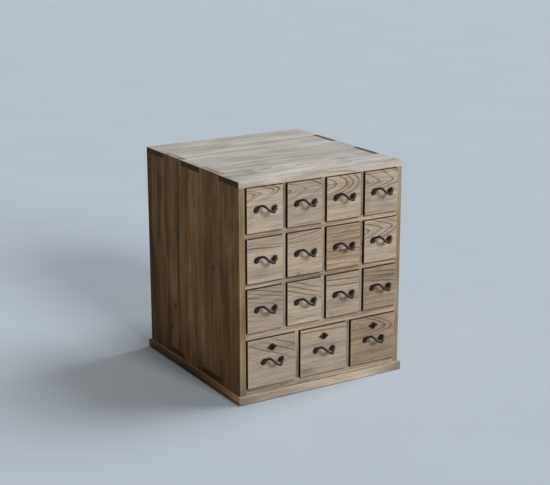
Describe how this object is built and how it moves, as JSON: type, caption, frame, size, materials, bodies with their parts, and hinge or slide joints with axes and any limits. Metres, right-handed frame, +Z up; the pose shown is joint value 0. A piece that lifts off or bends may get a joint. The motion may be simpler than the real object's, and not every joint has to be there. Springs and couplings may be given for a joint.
{
  "type": "tabletop chest of drawers",
  "caption": "Small wooden chest of drawers for a table, finger-jointed on a plinth, with forged iron bail pulls and lozenge plates on the larger bottom drawers.",
  "frame": {"origin": "on the ground, in the middle of the space that the whole chest takes up with its pulls", "axes": "+Z up, +X to the right of someone facing the drawers, drawers come out towards -Y"},
  "size_m": [0.41, 0.4535, 0.473],
  "materials": {
    "case_wood": "waxed, worn",
    "front_wood": "waxed, greyed by age",
    "tray_wood": "bare",
    "iron": "forged, blackened"
  },
  "bodies": {
    "case": {"top_board": "case_wood", "bottom_board": "case_wood", "left_side": "case_wood", "right_side": "case_wood", "back_boards": "case_wood", "back_nails": "iron", "lower_shelf": "case_wood", "middle_shelf": "case_wood", "upper_shelf": "case_wood", "upper_dividers": "case_wood", "lower_dividers": "case_wood", "plinth": "case_wood"},
    "drawer_a1": {"front_a1": "front_wood", "tray_a1": "tray_wood", "pull_a1": "iron"},
    "drawer_a2": {"front_a2": "front_wood", "tray_a2": "tray_wood", "pull_a2": "iron"},
    "drawer_a3": {"front_a3": "front_wood", "tray_a3": "tray_wood", "pull_a3": "iron"},
    "drawer_a4": {"front_a4": "front_wood", "tray_a4": "tray_wood", "pull_a4": "iron"},
    "drawer_b1": {"front_b1": "front_wood", "tray_b1": "tray_wood", "pull_b1": "iron"},
    "drawer_b2": {"front_b2": "front_wood", "tray_b2": "tray_wood", "pull_b2": "iron"},
    "drawer_b3": {"front_b3": "front_wood", "tray_b3": "tray_wood", "pull_b3": "iron"},
    "drawer_b4": {"front_b4": "front_wood", "tray_b4": "tray_wood", "pull_b4": "iron"},
    "drawer_c1": {"front_c1": "front_wood", "tray_c1": "tray_wood", "pull_c1": "iron"},
    "drawer_c2": {"front_c2": "front_wood", "tray_c2": "tray_wood", "pull_c2": "iron"},
    "drawer_c3": {"front_c3": "front_wood", "tray_c3": "tray_wood", "pull_c3": "iron"},
    "drawer_c4": {"front_c4": "front_wood", "tray_c4": "tray_wood", "pull_c4": "iron"},
    "drawer_d1": {"front_d1": "front_wood", "tray_d1": "tray_wood", "pull_d1": "iron", "plate_d1": "iron"},
    "drawer_d2": {"front_d2": "front_wood", "tray_d2": "tray_wood", "pull_d2": "iron", "plate_d2": "iron"},
    "drawer_d3": {"front_d3": "front_wood", "tray_d3": "tray_wood", "pull_d3": "iron", "plate_d3": "iron"}
  },
  "joints": [
    {"name": "drawer_a1_slide", "type": "slide", "parent": "case", "child": "drawer_a1", "axis": [0, -1, 0], "range_m": [0, 0.3]},
    {"name": "drawer_a2_slide", "type": "slide", "parent": "case", "child": "drawer_a2", "axis": [0, -1, 0], "range_m": [0, 0.3]},
    {"name": "drawer_a3_slide", "type": "slide", "parent": "case", "child": "drawer_a3", "axis": [0, -1, 0], "range_m": [0, 0.3]},
    {"name": "drawer_a4_slide", "type": "slide", "parent": "case", "child": "drawer_a4", "axis": [0, -1, 0], "range_m": [0, 0.3]},
    {"name": "drawer_b1_slide", "type": "slide", "parent": "case", "child": "drawer_b1", "axis": [0, -1, 0], "range_m": [0, 0.3]},
    {"name": "drawer_b2_slide", "type": "slide", "parent": "case", "child": "drawer_b2", "axis": [0, -1, 0], "range_m": [0, 0.3]},
    {"name": "drawer_b3_slide", "type": "slide", "parent": "case", "child": "drawer_b3", "axis": [0, -1, 0], "range_m": [0, 0.3]},
    {"name": "drawer_b4_slide", "type": "slide", "parent": "case", "child": "drawer_b4", "axis": [0, -1, 0], "range_m": [0, 0.3]},
    {"name": "drawer_c1_slide", "type": "slide", "parent": "case", "child": "drawer_c1", "axis": [0, -1, 0], "range_m": [0, 0.3]},
    {"name": "drawer_c2_slide", "type": "slide", "parent": "case", "child": "drawer_c2", "axis": [0, -1, 0], "range_m": [0, 0.3]},
    {"name": "drawer_c3_slide", "type": "slide", "parent": "case", "child": "drawer_c3", "axis": [0, -1, 0], "range_m": [0, 0.3]},
    {"name": "drawer_c4_slide", "type": "slide", "parent": "case", "child": "drawer_c4", "axis": [0, -1, 0], "range_m": [0, 0.3]},
    {"name": "drawer_d1_slide", "type": "slide", "parent": "case", "child": "drawer_d1", "axis": [0, -1, 0], "range_m": [0, 0.3]},
    {"name": "drawer_d2_slide", "type": "slide", "parent": "case", "child": "drawer_d2", "axis": [0, -1, 0], "range_m": [0, 0.3]},
    {"name": "drawer_d3_slide", "type": "slide", "parent": "case", "child": "drawer_d3", "axis": [0, -1, 0], "range_m": [0, 0.3]}
  ]
}
